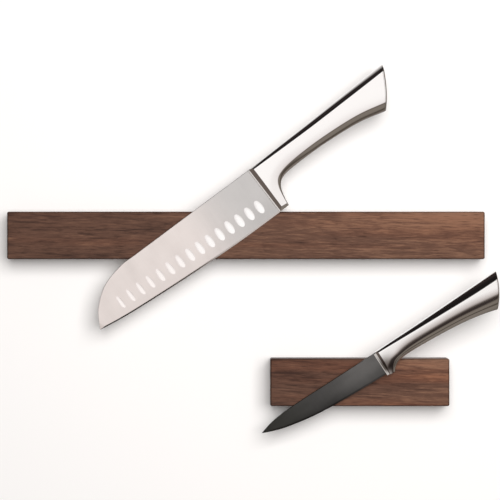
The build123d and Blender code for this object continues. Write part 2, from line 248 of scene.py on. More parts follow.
def makeWalnutFigure():
    tree, given, out = newGroup(
        "walnutFigure",
        [
            ("Vector", "NodeSocketVector", None),
            ("Ring Spacing", "NodeSocketFloat", 0.0042),
            ("Ring Strength", "NodeSocketFloat", 0.5),
            ("Dash Strength", "NodeSocketFloat", 0.26),
            ("Warmth", "NodeSocketFloat", 0.5),
            ("Shift", "NodeSocketFloat", 0.0),
            ("Dark", "NodeSocketColor", (0.037, 0.018, 0.013, 1)),
            ("Middle", "NodeSocketColor", (0.106, 0.053, 0.036, 1)),
            ("Light", "NodeSocketColor", (0.232, 0.122, 0.077, 1)),
        ],
        [("Color", "NodeSocketColor"), ("Roughness", "NodeSocketFloat"), ("Height", "NodeSocketFloat")],
    )
    at = given["Vector"]
    # growth rings round a pith that lies behind and above the bar
    axes = splitAxes(tree, at)
    across = mathNode(tree, "SUBTRACT", axes["Y"], walnut["pith"][0])
    up = mathNode(tree, "SUBTRACT", axes["Z"], walnut["pith"][1])
    squares = mathNode(tree, "MULTIPLY_ADD", up, up, mathNode(tree, "MULTIPLY", across, across))
    bent = mathNode(tree, "SQRT", squares)
    for wave, amount in walnut["bends"].items():
        bent = mathNode(tree, "MULTIPLY_ADD", walnutNoise(tree, at, wave), amount, bent)
    turns = mathNode(tree, "FRACT", mathNode(tree, "DIVIDE", bent, given["Ring Spacing"]))
    lateWood = mathNode(tree, "POWER", turns, walnut["lateWood"])
    ring = mathNode(tree, "SUBTRACT", lateWood, rampFrom(tree, turns, *walnut["ringEnd"]), clamp=True)
    # fibres, short streaks, broad colour and sparse dark lines
    grain = {layer: walnutNoise(tree, at, layer) for layer in walnut["tones"]}
    tone = 0.0
    for layer, amount in walnut["tones"].items():
        tone = mathNode(tree, "MULTIPLY_ADD", grain[layer], amount, tone)
    dash = rampFrom(tree, walnutNoise(tree, at, "dash"), *walnut["dashRange"])
    tone = mathNode(tree, "ADD", tone, given["Shift"])
    tone = mathNode(tree, "SUBTRACT", tone, mathNode(tree, "MULTIPLY", ring, given["Ring Strength"]))
    tone = mathNode(tree, "SUBTRACT", tone, mathNode(tree, "MULTIPLY", dash, given["Dash Strength"]))
    tone = rampFrom(tree, tone, *walnut["toneRange"])
    color = mixColors(tree, rampFrom(tree, tone, 0.0, 0.5), given["Dark"], given["Middle"])
    color = mixColors(tree, rampFrom(tree, tone, 0.45, 1.0), color, given["Light"])
    # patches that lean to red or to tan
    hue = rampFrom(tree, walnutNoise(tree, at, "hue"), *walnut["hueRange"])
    warm = mathNode(tree, "MULTIPLY", hue, given["Warmth"])
    color = mixColors(tree, warm, color, walnut["redder"], "MULTIPLY")
    # open pores, as short dark dashes, most of them in the late wood
    pore = rampFrom(tree, walnutNoise(tree, at, "pore"), *walnut["poreRange"])
    pore = mathNode(tree, "MULTIPLY", pore, mathNode(tree, "MULTIPLY_ADD", ring, 0.5, 0.45))
    color = mixColors(tree, mathNode(tree, "MULTIPLY", pore, 0.75), color, walnut["poreColor"])
    tree.links.new(color, out["Color"])
    rough = mathNode(tree, "MULTIPLY_ADD", grain["fibre"], -0.16, 0.58)
    rough = mathNode(tree, "MULTIPLY_ADD", pore, 0.2, rough)
    tree.links.new(rough, out["Roughness"])
    height = mathNode(tree, "MULTIPLY", grain["fibre"], 0.35)
    height = mathNode(tree, "MULTIPLY_ADD", pore, -1.0, height)
    tree.links.new(height, out["Height"])
    return tree


def makeGrindLines():
    # fine scratches along the group's own x, with slow unevenness between them
    tree, given, out = newGroup(
        "grindLines",
        [("Vector", "NodeSocketVector", None), ("Depth", "NodeSocketFloat", 0.5)],
        [("Shade", "NodeSocketFloat"), ("Height", "NodeSocketFloat")],
    )
    at = given["Vector"]
    fine = stretchedNoise(tree, at, (30, 2600, 2600), 3.0, 0.7)
    wide = stretchedNoise(tree, at, (12, 420, 420), 2.0, 0.5, (4, 1, 8))
    both = mathNode(tree, "MULTIPLY_ADD", wide, 0.5, mathNode(tree, "MULTIPLY", fine, 0.5))
    tree.links.new(both, out["Height"])
    shade = mathNode(tree, "MULTIPLY", mathNode(tree, "SUBTRACT", both, 0.5), given["Depth"])
    tree.links.new(shade, out["Shade"])
    return tree


def makeHandling():
    # faint wipe marks and fingerprints: where metal has been touched it's a little less clear
    tree, given, out = newGroup(
        "handlingMarks",
        [("Vector", "NodeSocketVector", None), ("Amount", "NodeSocketFloat", 0.5)],
        [("Roughness", "NodeSocketFloat"), ("Height", "NodeSocketFloat")],
    )
    at = given["Vector"]
    smear = stretchedNoise(tree, at, (22, 60, 60), 4.0, 0.6)
    hair = stretchedNoise(tree, at, (60, 1900, 1900), 2.0, 0.6, (6, 2, 2))
    mask = mathNode(tree, "MULTIPLY", rampFrom(tree, smear, 0.45, 0.75), given["Amount"])
    hairMask = mathNode(tree, "MULTIPLY", rampFrom(tree, hair, 0.62, 0.72), given["Amount"])
    tree.links.new(mathNode(tree, "MULTIPLY_ADD", hairMask, 0.4, mask), out["Roughness"])
    tree.links.new(hairMask, out["Height"])
    return tree


def makeSpeckle():
    # cast or coated grain, such as zinc's spangle or moulded plastic
    tree, given, out = newGroup(
        "surfaceGrain",
        [("Vector", "NodeSocketVector", None), ("Size", "NodeSocketFloat", 900.0)],
        [("Grain", "NodeSocketFloat"), ("Patch", "NodeSocketFloat")],
    )
    noise = addNode(tree, "ShaderNodeTexNoise", in_Detail=2.0)
    tree.links.new(given["Vector"], noise.inputs["Vector"])
    tree.links.new(given["Size"], noise.inputs["Scale"])
    cells = addNode(tree, "ShaderNodeTexVoronoi")
    tree.links.new(given["Vector"], cells.inputs["Vector"])
    tree.links.new(mathNode(tree, "MULTIPLY", given["Size"], 0.35), cells.inputs["Scale"])
    tree.links.new(noise.outputs["Fac"], out["Grain"])
    patch = addNode(tree, "ShaderNodeSeparateColor")
    tree.links.new(cells.outputs["Color"], patch.inputs[0])
    tree.links.new(patch.outputs[0], out["Patch"])
    return tree


walnutFigure = makeWalnutFigure()
grindLines = makeGrindLines()
handlingMarks = makeHandling()
surfaceGrain = makeSpeckle()
print("shared effects made")


def walnutMaterial(name, node, start, slope, ringStrength, warmth, paintedLightDrift, patch, lift=1.0):
    # painted light: the tone at the left end and at the right, lighter to the right, and a painted pool
    # of light that lightens the upper right part
    material, tree, shader, coords = newMaterial(
        name, Coat_Weight=0.05, Coat_Roughness=0.34, IOR=1.45, Specular_IOR_Level=0.3
    )
    low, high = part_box(node)
    centre = (low + high) / 2
    cut = movedVector(tree, coords, start, (0, slope, 0))
    figure = placeGroup(tree, walnutFigure, cut, Warmth=warmth, Ring_Strength=ringStrength)
    for tone in ("Dark", "Middle", "Light"):
        base = figure.inputs[tone].default_value
        figure.inputs[tone].default_value = (base[0] * lift, base[1] * lift, base[2] * lift, 1)
    axes = splitAxes(tree, coords)
    toRight = rampFrom(tree, axes["X"], low.x, high.x)
    paintedLightDrop = 4 * mm  # how far below the top the painted light patch is full
    rightHalf = rampFrom(tree, axes["X"], centre.x, high.x)
    upperHalf = rampFrom(tree, axes["Z"], centre.z - paintedLightDrop, high.z - paintedLightDrop)
    # painted light: the tone grows lighter towards the right end and on the upper right part
    shift = mathNode(tree, "MULTIPLY_ADD", toRight, paintedLightDrift[1] - paintedLightDrift[0], paintedLightDrift[0])
    upperRight = mathNode(tree, "MULTIPLY", rightHalf, upperHalf)
    shift = mathNode(tree, "MULTIPLY_ADD", upperRight, patch, shift)
    tree.links.new(shift, figure.inputs["Shift"])
    # painted shade darkens the rounded arrises and the top and bottom faces; the end faces are darker
    # too, as end grain
    edgeShadeMasks = []
    for axis, middle, half, wide, narrow in (
        ("X", centre.x, (high.x - low.x) / 2, 1.7 * mm, 0.5 * mm),
        ("Z", centre.z, (high.z - low.z) / 2, 1.5 * mm, 0.4 * mm),
    ):
        away = mathNode(tree, "ABSOLUTE", mathNode(tree, "SUBTRACT", axes[axis], middle))
        edgeShadeMasks.append(rampFrom(tree, away, half - wide, half - narrow))
    edgeShadeAndEndGrain = mathNode(tree, "MULTIPLY", mathNode(tree, "MAXIMUM", *edgeShadeMasks), 0.5)
    color = mixColors(tree, edgeShadeAndEndGrain, figure.outputs["Color"], walnut["edgeShadeAndEndGrainColor"])
    tree.links.new(color, shader.inputs["Base Color"])
    tree.links.new(figure.outputs["Roughness"], shader.inputs["Roughness"])
    addBump(tree, shader, figure.outputs["Height"], 0.3, 0.12 * mm)
    return material


def alongKnife(tree, coords, turn, start, end):
    # the knife's own axes, and 0 to 1 from the handle's end of a stretch to the tip's end
    turned = movedVector(tree, coords, rotation=(0, turn, 0))
    axes = splitAxes(tree, turned)
    return turned, axes, rampFrom(tree, axes["X"], start, end)


def polishedSteel(name, turn, base, haze, marks, tipBase=None, reach=(0, 1), paintedGuardShade=None):
    # haze is the polish's own roughness; a painted shade, standing for a dark reflection on the guard,
    # rises and fades along the knife and across it
    material, tree, shader, coords = newMaterial(name, Metallic=1.0)
    turned, axes, toTip = alongKnife(tree, coords, turn, *reach)
    color = mixColors(tree, toTip, base, tipBase or base)
    if paintedGuardShade:
        spread = 1.0
        for axis, key in (("X", "along"), ("Z", "across")):
            start, full, fading, gone = paintedGuardShade[key]
            spread = mathNode(tree, "MULTIPLY", rampFrom(tree, axes[axis], start, full), spread)
            spread = mathNode(tree, "MULTIPLY", rampFrom(tree, axes[axis], gone, fading), spread)
        color = mixColors(tree, spread, color, paintedGuardShade["tint"])
    tree.links.new(color, shader.inputs["Base Color"])
    touch = placeGroup(tree, handlingMarks, turned, Amount=marks)
    rough = mathNode(tree, "MULTIPLY_ADD", touch.outputs["Roughness"], 0.10, haze)
    tree.links.new(rough, shader.inputs["Roughness"])
    addBump(tree, shader, touch.outputs["Height"], 0.05, 0.02 * mm)
    return material


def groundSteel(name, turn, reach, shades, roughness, depth, cloud, edgeShade):
    # ground across the blade, so the lines run from spine to edge; shades go from the heel to the tip,
    # as painted shade and reflection over the steel's own tone
    material, tree, shader, coords = newMaterial(name, Metallic=1.0)
    turned, axes, toTip = alongKnife(tree, coords, turn, *reach)
    # painted shade and reflection: the blade is lighter and darker by stretches from the heel to the
    # tip
    heel, middle, tip = shades
    color = mixColors(tree, rampFrom(tree, toTip, 0.0, 0.5), heel, middle)
    color = mixColors(tree, rampFrom(tree, toTip, 0.5, 1.0), color, tip)
    acrossBlade = movedVector(tree, turned, rotation=(0, quarterTurn, 0))
    lines = placeGroup(tree, grindLines, acrossBlade, Depth=depth)
    touch = placeGroup(tree, handlingMarks, acrossBlade, Amount=0.5)
    value = mathNode(tree, "ADD", lines.outputs["Shade"], 1.0)
    blotch = stretchedNoise(tree, turned, (28, 40, 55), 3.0, 0.55, (3, 1, 6))
    value = mathNode(tree, "MULTIPLY_ADD", mathNode(tree, "SUBTRACT", blotch, 0.5), cloud, value)
    darker, low, high = edgeShade  # painted shade: how much darker near the edge, and between which heights
    nearEdge = mathNode(tree, "SUBTRACT", 1.0, rampFrom(tree, axes["Z"], low, high))
    value = mathNode(tree, "MULTIPLY_ADD", nearEdge, -darker, value)
    tree.links.new(mixColors(tree, 1.0, color, value, "MULTIPLY"), shader.inputs["Base Color"])
    rough = mathNode(tree, "MULTIPLY_ADD", touch.outputs["Roughness"], 0.08, roughness)
    rough = mathNode(tree, "MULTIPLY_ADD", lines.outputs["Shade"], 0.4, rough)
    tree.links.new(rough, shader.inputs["Roughness"])
    addBump(tree, shader, lines.outputs["Height"], 0.25, 0.02 * mm)
    return material


def grainyMaterial(name, base, tint, size, roughness, bump, metallic=0.0):
    material, tree, shader, coords = newMaterial(name, Metallic=metallic)
    grain = placeGroup(tree, surfaceGrain, coords, Size=size)
    tree.links.new(mixColors(tree, grain.outputs["Patch"], base, tint), shader.inputs["Base Color"])
    rough = mathNode(tree, "MULTIPLY_ADD", grain.outputs["Grain"], 0.1, roughness)
    tree.links.new(rough, shader.inputs["Roughness"])
    addBump(tree, shader, grain.outputs["Grain"], bump, 0.05 * mm)
    return material


santokuTurn = math.radians(37.7)  # the knives' slant, handle up
utilityTurn = math.radians(33.3)
quarterTurn = math.radians(90)

finishes = {
    "longWalnut": walnutMaterial(
        "long_walnut",
        "long_bar",
        start=(0.31, 0, 0.004),
        slope=-0.018,
        ringStrength=0.14,
        warmth=0.35,
        paintedLightDrift=(-0.11, 0.08),
        patch=0.34,
    ),
    "shortWalnut": walnutMaterial(
        "short_walnut",
        "short_bar",
        start=(-0.22, 0.01, 0.118),
        slope=-0.04,
        ringStrength=0.12,
        warmth=0.85,
        paintedLightDrift=(-0.13, 0.06),
        patch=0.18,
    ),
    "backWalnut": walnutMaterial(
        "cover_walnut",
        "long_back_cover",
        start=(0.12, 0.03, 0.02),
        slope=0.01,
        ringStrength=0.2,
        warmth=0.4,
        paintedLightDrift=(0.0, 0.0),
        patch=0.0,
        lift=0.85,
    ),
    "santokuPolish": polishedSteel(
        "santoku_polish", santokuTurn, base=(0.95, 0.93, 0.92), haze=0.085, marks=0.35
    ),
    # painted reflection: the hollows are painted duller and warmer towards the tip
    "hollowPolish": polishedSteel(
        "hollow_polish",
        santokuTurn,
        base=(1.0, 0.99, 0.985),
        haze=0.14,
        marks=0.2,
        tipBase=(0.96, 0.91, 0.89),
        reach=(0.015, -0.09),
    ),
    # painted shade: the edge bevel is painted much darker towards the tip
    "santokuEdge": polishedSteel(
        "santoku_edge",
        santokuTurn,
        base=(0.80, 0.76, 0.74),
        haze=0.20,
        marks=0.2,
        tipBase=(0.26, 0.235, 0.215),
        reach=(-0.020, -0.050),
    ),
    "utilityPolish": polishedSteel(
        "utility_polish",
        utilityTurn,
        base=(0.90, 0.885, 0.87),
        haze=0.085,
        marks=0.5,
        # painted shade: a dark reflection painted on the guard's face
        paintedGuardShade={
            "along": (0.0338, 0.0348, 0.0360, 0.0520),
            "across": (-0.1590, -0.1530, -0.1500, -0.1390),
            "tint": (0.16, 0.14, 0.125),
        },
    ),
    "santokuGround": groundSteel(
        "santoku_ground",
        santokuTurn,
        reach=(0.035, -0.115),
        shades=((0.66, 0.645, 0.635), (0.90, 0.83, 0.80), (0.875, 0.805, 0.775)),
        roughness=0.30,
        depth=0.12,
        cloud=0.10,
        edgeShade=(0.07, 0.000, 0.022),
    ),
    "utilityGround": groundSteel(
        "utility_ground",
        utilityTurn,
        reach=(0.035, -0.075),
        shades=((0.155, 0.152, 0.148), (0.088, 0.086, 0.084), (0.048, 0.048, 0.044)),
        roughness=0.34,
        depth=0.25,
        cloud=0.75,
        edgeShade=(0.42, -0.157, -0.145),
    ),
    # the hardware: two tones, how fine the grain is, roughness, bump and metal
    "zinc": grainyMaterial("zinc_plate", (0.60, 0.62, 0.66), (0.70, 0.70, 0.70), 700, 0.30, 0.15, 1.0),
    "screw": grainyMaterial("screw_zinc", (0.66, 0.65, 0.60), (0.72, 0.71, 0.68), 1500, 0.26, 0.1, 1.0),
    "nickel": grainyMaterial(
        "magnet_nickel", (0.74, 0.72, 0.68), (0.70, 0.69, 0.66), 500, 0.16, 0.05, 1.0
    ),
    "rubber": grainyMaterial(
        "liner_rubber", (0.020, 0.020, 0.021), (0.028, 0.027, 0.027), 1100, 0.62, 0.5
    ),
    "nylon": grainyMaterial("plug_nylon", (0.42, 0.42, 0.40), (0.46, 0.46, 0.44), 900, 0.46, 0.2),
}
print("materials made:", len(finishes))


def finishedCopy(node, finish):
    # the CAD solid, welded and smoothed; its shape and place stay as they are
    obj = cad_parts[node].copy()
    obj.data = obj.data.copy()
    obj.name = node + "_look"
    obj.parent = None
    obj.matrix_world = Matrix.Identity(4)
    bpy.context.scene.collection.objects.link(obj)
    obj.data.materials.clear()
    obj.data.materials.append(finishes[finish])
    cleanMesh(obj)
    smoothUpTo(obj, 25)
    return obj


def dressBar(bar, magnets, wood):
    body = bar + "_rack"
    pieces = [("bar", wood, "walnut"), ("back_cover", "backWalnut", "walnut_back")]
    pieces += [("steel_yoke", "zinc", "zinc_plate"), ("rubber_liner", "rubber", "rubber")]
    pieces += [("left_hanger", "zinc", "zinc_plate"), ("right_hanger", "zinc", "zinc_plate")]
    pieces += [("cover_screws", "screw", "zinc_screw"), ("hanger_screws", "screw", "zinc_screw")]
    pieces += [(f"magnet_{number:02d}", "nickel", "magnet_nickel") for number in range(1, magnets + 1)]
    for part, finish, slot in pieces:
        node = f"{bar}_{part}"
        handOver(finishedCopy(node, finish), body, [node])
    fixings = [("wall_screw", "screw", "zinc_screw"), ("wall_plug", "nylon", "nylon")]
    for side in ("left", "right"):
        for part, finish, slot in fixings:
            node = f"{bar}_{side}_{part}"
            handOver(finishedCopy(node, finish), "wall_fixings", [node])
    print(bar, "bar dressed")


dressBar("long", 15, "longWalnut")
dressBar("short", 5, "shortWalnut")

# Each knife is made in its own frame, in millimetres: x from the bolster's front towards the butt, z up
# from the spine's line, y through the thickness.
# collar: from x, to x, top, bottom, half its thickness, lean of its faces at the top and the bottom
# soft: the part of the face that curves down: most width, share of the face, slope, bend
# a station of the grip: outer (x, z), inner (x, z), thickness, width of the outer round, width of the
# slanted underside, bow
santoku = {
    "angle": 37.7,
    "tilt": 0.0,
    "restsAt": 0.0,
    "at": (2.95, 53.1),  # x and z of the bolster's front at the spine
    "spine": [
        (3, 0.75), (-65, 1.9), (-118, 2.8), (-130, 3.0), (-151, -1.9), (-167, -13.6), (-176.8, -28.4)
    ],
    "edge": [(3, -42.2), (-40, -41.2), (-90, -38.2), (-140, -33.8), (-160, -31.3), (-176.8, -28.4)],
    "spineThickness": 2.2,
    "edgeThickness": 0.55,
    "top": 3.0,
    "bottom": -42.3,
    "bevelWidth": 1.2,
    "collar": (-1.2, 0.1, -0.2, -41.7, 3.6, (0.25, 0.35)),
    "tongueEnd": -42.0,
    "tongueSlope": 0.0,
    "tongueChamfer": 3.4,
    "noseLength": 3.4,
    "noseDepth": 2.8,
    "hollows": 15,
    "edgeShare": (-0.12, 0.108),  # how rounded the outer edge is, and how that grows with its width
    "guardSlope": 0.0,  # how much more the guard's face falls away
    "soft": (9.5, 0.62, 0.105, 0.32),
    "underside": [(0.10, 0.04), (0.38, 0.205), (0.64, 0.358), (0.82, 0.485), (1.0, 0.612)],
    "stations": [
        ((-14, -50), (7.6, -49), 14, 2.7, 0.5, 0),
        ((-14, -44), (7.9, -43.5), 14, 2.7, 0.5, 0),
        ((-14, -38), (8.6, -38.5), 14, 2.7, 0.6, 0),
        ((-14, -31), (9.6, -33.5), 14, 2.7, 0.8, 0),
        ((-14, -22), (10.9, -28.8), 14, 2.7, 1.3, 0),
        ((-14, -11), (13.0, -24.8), 14, 2.7, 2.1, 0),
        ((-14, 0.6), (15.6, -22.2), 14, 2.7, 3.0, 0),
        ((-6, 0.6), (18.4, -20.8), 14, 2.7, 3.7, 0),
        ((3, 0.6), (22.0, -20.0), 14, 2.7, 4.3, 0),
        ((14, 0.7), (27.0, -19.6), 14.1, 2.8, 4.8, 0),
        ((27, 0.8), (35.0, -19.4), 14.8, 3.0, 5.0, 0),
        ((42, 1.0), (46.0, -19.4), 16.2, 3.4, 5.1, 0),
        ((59, 1.2), (59.5, -19.9), 17.3, 3.9, 5.3, 0.1),
        ((77, 1.6), (74.0, -21.1), 18.4, 4.3, 5.6, 0.4),
        ((95, 2.0), (87.5, -22.5), 19.7, 4.7, 6.0, 0.8),
        ((111, 2.3), (99.0, -24.3), 21.1, 5.1, 6.4, 1.2),
        ((124.6, 2.5), (108.2, -26.9), 22.4, 5.4, 6.8, 1.4),
        ((137.0, 2.7), (116.6, -29.3), 23.6, 5.6, 7.2, 1.6),
    ],
    "capDepth": 1.9,
}
utility = {
    "angle": 33.3,
    "tilt": 3.6,
    "restsAt": -78.0,
    "at": (104.6, -97.2),
    "spine": [(3, 0.7), (-40, 0.8), (-76, 0.9), (-90, 0.4), (-102, -1.2), (-112.6, -4.1)],
    "edge": [(3, -19.2), (-36, -17.9), (-66, -15.8), (-92, -11.2), (-104, -7.6), (-112.6, -4.1)],
    "spineThickness": 1.7,
    "edgeThickness": 0.5,
    "top": 0.9,
    "bottom": -19.2,
    "bevelWidth": 1.3,
    "collar": (-0.3, 2.1, 0.3, -20.3, 3.0, (0.34, 0.62)),
    "tongueEnd": -20.5,
    "tongueSlope": -0.06,
    "tongueChamfer": 0.0,
    "noseLength": 2.2,
    "noseDepth": 1.8,
    "hollows": 0,
    "edgeShare": (0.0, 0.015),
    "guardSlope": 0.10,
    "soft": (6.5, 0.7, 0.18, 0.35),
    "underside": [(0.34, 0.137), (0.56, 0.251), (0.66, 0.314), (0.86, 0.467), (1.0, 0.574)],
    "stations": [
        ((-12, -27), (5.2, -25), 9.6, 2.0, 1.8, 0),
        ((-12, -23), (6.0, -22), 9.6, 2.0, 2.0, 0),
        ((-12, -18), (7.8, -19.4), 9.6, 2.0, 2.6, 0),
        ((-12, -10), (10.4, -17.2), 9.6, 2.0, 3.3, 0),
        ((-12, 1.1), (13.6, -15.5), 9.6, 2.0, 3.9, 0),
        ((-5, 1.1), (17.0, -14.8), 9.6, 2.0, 4.3, 0),
        ((4, 1.1), (21.0, -14.5), 9.6, 2.1, 4.6, 0),
        ((15, 1.2), (26.0, -14.4), 9.9, 2.3, 5.0, 0),
        ((28, 1.3), (34.0, -14.6), 10.8, 2.6, 5.4, 0),
        ((41.5, 1.4), (44.5, -15.1), 11.9, 2.9, 5.9, 0),
        ((56, 1.7), (57.0, -16.0), 13.0, 3.5, 6.4, 0.1),
        ((71, 2.0), (69.5, -17.1), 14.2, 4.1, 7.0, 0.4),
        ((85.5, 2.4), (81.0, -18.6), 15.5, 4.8, 7.7, 0.8),
        ((98, 2.6), (90.5, -20.4), 16.9, 5.2, 8.6, 1.2),
        ((109.2, 2.9), (97.8, -22.2), 18.0, 5.5, 9.8, 1.4),
        ((118.3, 3.1), (103.4, -23.9), 18.8, 5.7, 11.2, 1.5),
    ],
    "capDepth": 1.5,
}
sectionPoints = 36  # round a grip's section, eighteen a side
bladeGap = 0.1  # between a blade's rear face and its bar


def flankSlope(knife):
    return (knife["spineThickness"] - knife["edgeThickness"]) / 2 / (knife["top"] - knife["bottom"])


def knifePlace(knife):
    # as in the CAD: the blade's rear face lies on the bar, or leans so that the bolster clears it
    halfAtZero = knife["edgeThickness"] / 2 - flankSlope(knife) * knife["bottom"]
    roll = math.atan(flankSlope(knife))
    angle, tilt = math.radians(-knife["angle"]), math.radians(-knife["tilt"])
    lean = knife["restsAt"] * math.sin(tilt)
    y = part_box("long_bar")[0].y / mm - bladeGap - halfAtZero * math.cos(roll) - lean
    turn = Matrix.Rotation(angle, 4, "Y") @ Matrix.Rotation(tilt, 4, "Z")
    turn = turn @ Matrix.Rotation(roll, 4, "X")
    x, z = knife["at"]
    return Matrix.Translation(Vector((x, y, z)) * mm) @ turn @ Matrix.Scale(mm, 4)


def halfProfile(knife, station):
    # from the outer edge to the inner one, as (distance down, height out): the outer round, the nearly
    # flat face, the part that curves down and the slanted underside
    outer, inner, thickness, roundWidth, lowWidth, bow = station
    long = math.dist(outer, inner)
    half = thickness / 2
    softMost, softShare, softSlope, softBend = knife["soft"]
    soft = min(softMost, softShare * (long - roundWidth - lowWidth))
    # the guard's face falls away more, the lower it is
    guard = min(1.0, max(0.0, -outer[0] / 12)) * min(1.0, max(0.0, (6 - outer[1]) / 14))
    softSlope += knife["guardSlope"] * guard
    softBend += (0.5 - softBend) * guard
    softDrop = softSlope * soft
    least, growth = knife["edgeShare"]
    edge = roundWidth * max(0.03, least + growth * roundWidth)
    band = roundWidth - edge
    bandFoot = half - 0.72 * band
    flat = roundWidth + 0.12 * band
    lowStart = long - lowWidth
    lowFoot = half - softDrop
    profile = [
        (0, 0),
        (0, bandFoot - 2.1 * edge),
        (0.2 * edge, bandFoot - 1.08 * edge),
        (0.6 * edge, bandFoot - 0.46 * edge),
        (edge, bandFoot),
        (edge + 0.38 * band, half - 0.40 * band),
        (edge + 0.75 * band, half - 0.13 * band),
        (flat, half),
        (flat + 0.4 * (lowStart - soft - flat), half),
        (lowStart - soft, half),
        (lowStart - 0.5 * soft, half - softBend * softDrop),
        (lowStart, lowFoot),
    ]
    for down, drop in knife["underside"]:
        profile.append((lowStart + lowWidth * down, lowFoot - lowWidth * drop))
    innerEdge = 0.45  # how far the last corner is rounded over
    return profile + [(long, profile[-1][1] - innerEdge), (long, 0)]


def sectionPoint(knife, station, index, share):
    # one point of a grip's section, drawn in by one share across the handle and another in thickness
    outer, inner, bow = station[0], station[1], station[5]
    start, end = Vector((outer[0], 0, outer[1])), Vector((inner[0], 0, inner[1]))
    long = (end - start).length
    back = index > sectionPoints // 2
    down, out = halfProfile(knife, station)[sectionPoints - index if back else index]
    down = (down - long / 2) * share[0] + long / 2
    out = -out * share[1] if back else out * share[1]
    along = (end - start).normalized()
    forward = Vector((-along.z, 0, along.x))
    bulge = bow * 4 * (down / long) * (1 - down / long)
    return start + along * down + forward * bulge + Vector((0, out, 0))


def loftStations(name, knife, stations, shares):
    # a ring of points, extruded from station to station and closed at both ends
    bpy.ops.mesh.primitive_circle_add(vertices=sectionPoints, radius=5, fill_type="NGON")
    obj = bpy.context.object
    obj.name = name
    bm = startEdit(obj)
    ring = bm.verts.layers.int.new("ring")
    for index, vert in enumerate(bm.verts):
        vert[ring] = index
    for vert in bm.verts:
        vert.co = sectionPoint(knife, stations[0], vert[ring], shares[0])
    for station, share in list(zip(stations, shares))[1:]:
        bpy.ops.mesh.extrude_region_move()
        bm = bmesh.from_edit_mesh(obj.data)
        ring = bm.verts.layers.int["ring"]
        for vert in bm.verts:
            if vert.select:
                vert.co = sectionPoint(knife, station, vert[ring], share)
    bmesh.update_edit_mesh(obj.data)
    stopEdit()
    return obj


def between(first, second, amount):
    # a station part of the way from one to the next
    outer = tuple(a + (b - a) * amount for a, b in zip(first[0], second[0]))
    inner = tuple(a + (b - a) * amount for a, b in zip(first[1], second[1]))
    return (outer, inner, *(a + (b - a) * amount for a, b in zip(first[2:], second[2:])))


def buildGrip(name, knife, finish, body, nodes):
    # bolster, guard and handle are welded and polished as one
    stations = list(knife["stations"])
    rim = between(stations[-2], stations[-1], 0.985)
    stations = stations[:-1] + [rim] + stations[-1:] * 3
    shares = [(1.0, 1.0)] * (len(stations) - 2) + [(0.98, 0.97), (0.6, 0.6)]  # these close the end
    grip = loftStations(name, knife, stations, shares)
    cleanMesh(grip, unit=1, closeHoles=True)
    applyModifier(grip, "SUBSURF", levels=3, render_levels=3)
    # the front is cut off behind the collar, then the guard's end, then their corners
    noseStart, noseLength, tongueEnd = knife["collar"][1] - 0.2, knife["noseLength"], knife["tongueEnd"]
    cutAway(grip, (noseStart, 0, 0), (-1, 0, 0))
    cutAway(grip, (0, 0, tongueEnd), (knife["tongueSlope"], 0, -1))
    half = knife["stations"][0][2] / 2
    for side in (-1, 1):
        slope = Vector((-knife["noseDepth"], side * noseLength, 0)).normalized()
        cutAway(grip, (noseStart + noseLength, side * half, 0), slope)
        if knife["tongueChamfer"]:
            cutAway(grip, (0, side * half, tongueEnd + knife["tongueChamfer"]), (0, side * 0.75, -0.66))
    cleanMesh(grip, unit=1, closeHoles=True)
    buildCollar(grip, knife)
    smoothUpTo(grip, 18)
    grip.data.materials.append(finishes[finish])
    setPlace(grip, knifePlace(knife))
    handOver(grip, body, nodes)


def buildCollar(grip, knife):
    # the step where the bolster meets the blade, joined to the grip
    low, high, top, bottom, half, lean = knife["collar"]
    middle = ((low + high) / 2, 0, (top + bottom) / 2)
    bpy.ops.mesh.primitive_cube_add(size=1, location=middle)
    collar = bpy.context.object
    collar.scale = (high - low, 2 * half, top - bottom)
    pickOnly(collar)
    applyPlace()
    # its faces lean back towards the tip, and more so at the bottom
    bm = startEdit(collar)
    for vert in bm.verts:
        if vert.co.x < middle[0]:
            drawnIn = lean[0] if vert.co.z > middle[2] else lean[1]
            vert.co.y -= math.copysign(drawnIn, vert.co.y)
    bmesh.update_edit_mesh(collar.data)
    stopEdit()
    applyModifier(collar, "BEVEL", width=0.18, segments=2, limit_method="ANGLE")
    pickOnly(grip)
    collar.select_set(True)
    bpy.ops.object.join()


# how far out, and how much of the section is left across the handle and in thickness
capSteps = [
    (0.01, 0.6, 0.6),
    (0.01, 0.98, 0.97),
    (0.02, 1.0, 1.0),
    (0.08, 1.0, 1.0),
    (0.35, 1.0, 1.0),
    (0.60, 0.998, 0.985),
    (0.90, 0.992, 0.945),
    (1.0, 0.985, 0.91),
    (1.02, 0.96, 0.84),
    (1.03, 0.5, 0.4),
]


def buildCap(name, knife, finish, body, nodes):
    # the butt's closing plate, slightly domed, with a hair-line joint to the handle
    last, before = knife["stations"][-1], knife["stations"][-2]
    reach = knife["capDepth"] / math.dist(last[0], before[0])
    stations = [between(before, last, 1.0 + step * reach) for step, across, thick in capSteps]
    cap = loftStations(name, knife, stations, [(across, thick) for step, across, thick in capSteps])
    cleanMesh(cap, unit=1, closeHoles=True)
    applyModifier(cap, "SUBSURF", levels=3, render_levels=3)
    smoothUpTo(cap, 30)
    cap.data.materials.append(finishes[finish])
    setPlace(cap, knifePlace(knife))
    handOver(cap, body, nodes)


